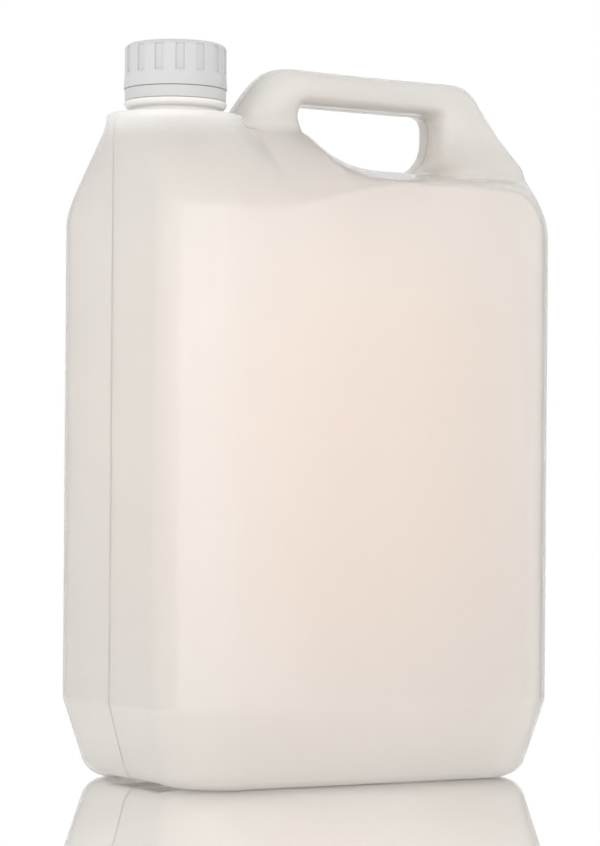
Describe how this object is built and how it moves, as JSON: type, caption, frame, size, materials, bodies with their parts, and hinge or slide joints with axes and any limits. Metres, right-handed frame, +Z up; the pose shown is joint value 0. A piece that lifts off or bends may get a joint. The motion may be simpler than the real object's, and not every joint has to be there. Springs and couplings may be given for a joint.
{
  "type": "plastic jerrycan",
  "caption": "Hollow blow-moulded plastic canister with a moulded-in carrying handle, an offset threaded neck, a ribbed screw cap and a tamper-evident band.",
  "frame": {"origin": "middle of the footprint on the floor", "axes": "+X from the neck end to the handle end, +Y from the front wide face to the back one, +Z up"},
  "size_m": [0.188, 0.126, 0.305],
  "materials": {
    "natural_hdpe": "milky translucent, satin blow-moulded skin",
    "white_polypropylene": "white, satin injection-moulded",
    "liner_foam": "fine closed-cell foam"
  },
  "bodies": {
    "bottle": {"bottle": "natural_hdpe", "tamper_band": "white_polypropylene"},
    "liner": {"liner": "liner_foam"},
    "cap": {"cap": "white_polypropylene"}
  },
  "joints": [
    {"name": "cap_lift", "type": "slide", "parent": "bottle", "child": "liner", "axis": [0, 0, 1], "range_m": [0, 0.0186]},
    {"name": "cap_turn", "type": "hinge", "parent": "liner", "child": "cap", "pos_m": [-0.065, 0, 0.295], "axis": [0, 0, 1], "range_deg": [0, 1560]}
  ],
  "couplings": [
    {"joint": "cap_lift", "follows": "cap_turn", "m_per_rad": 0.00066845}
  ]
}
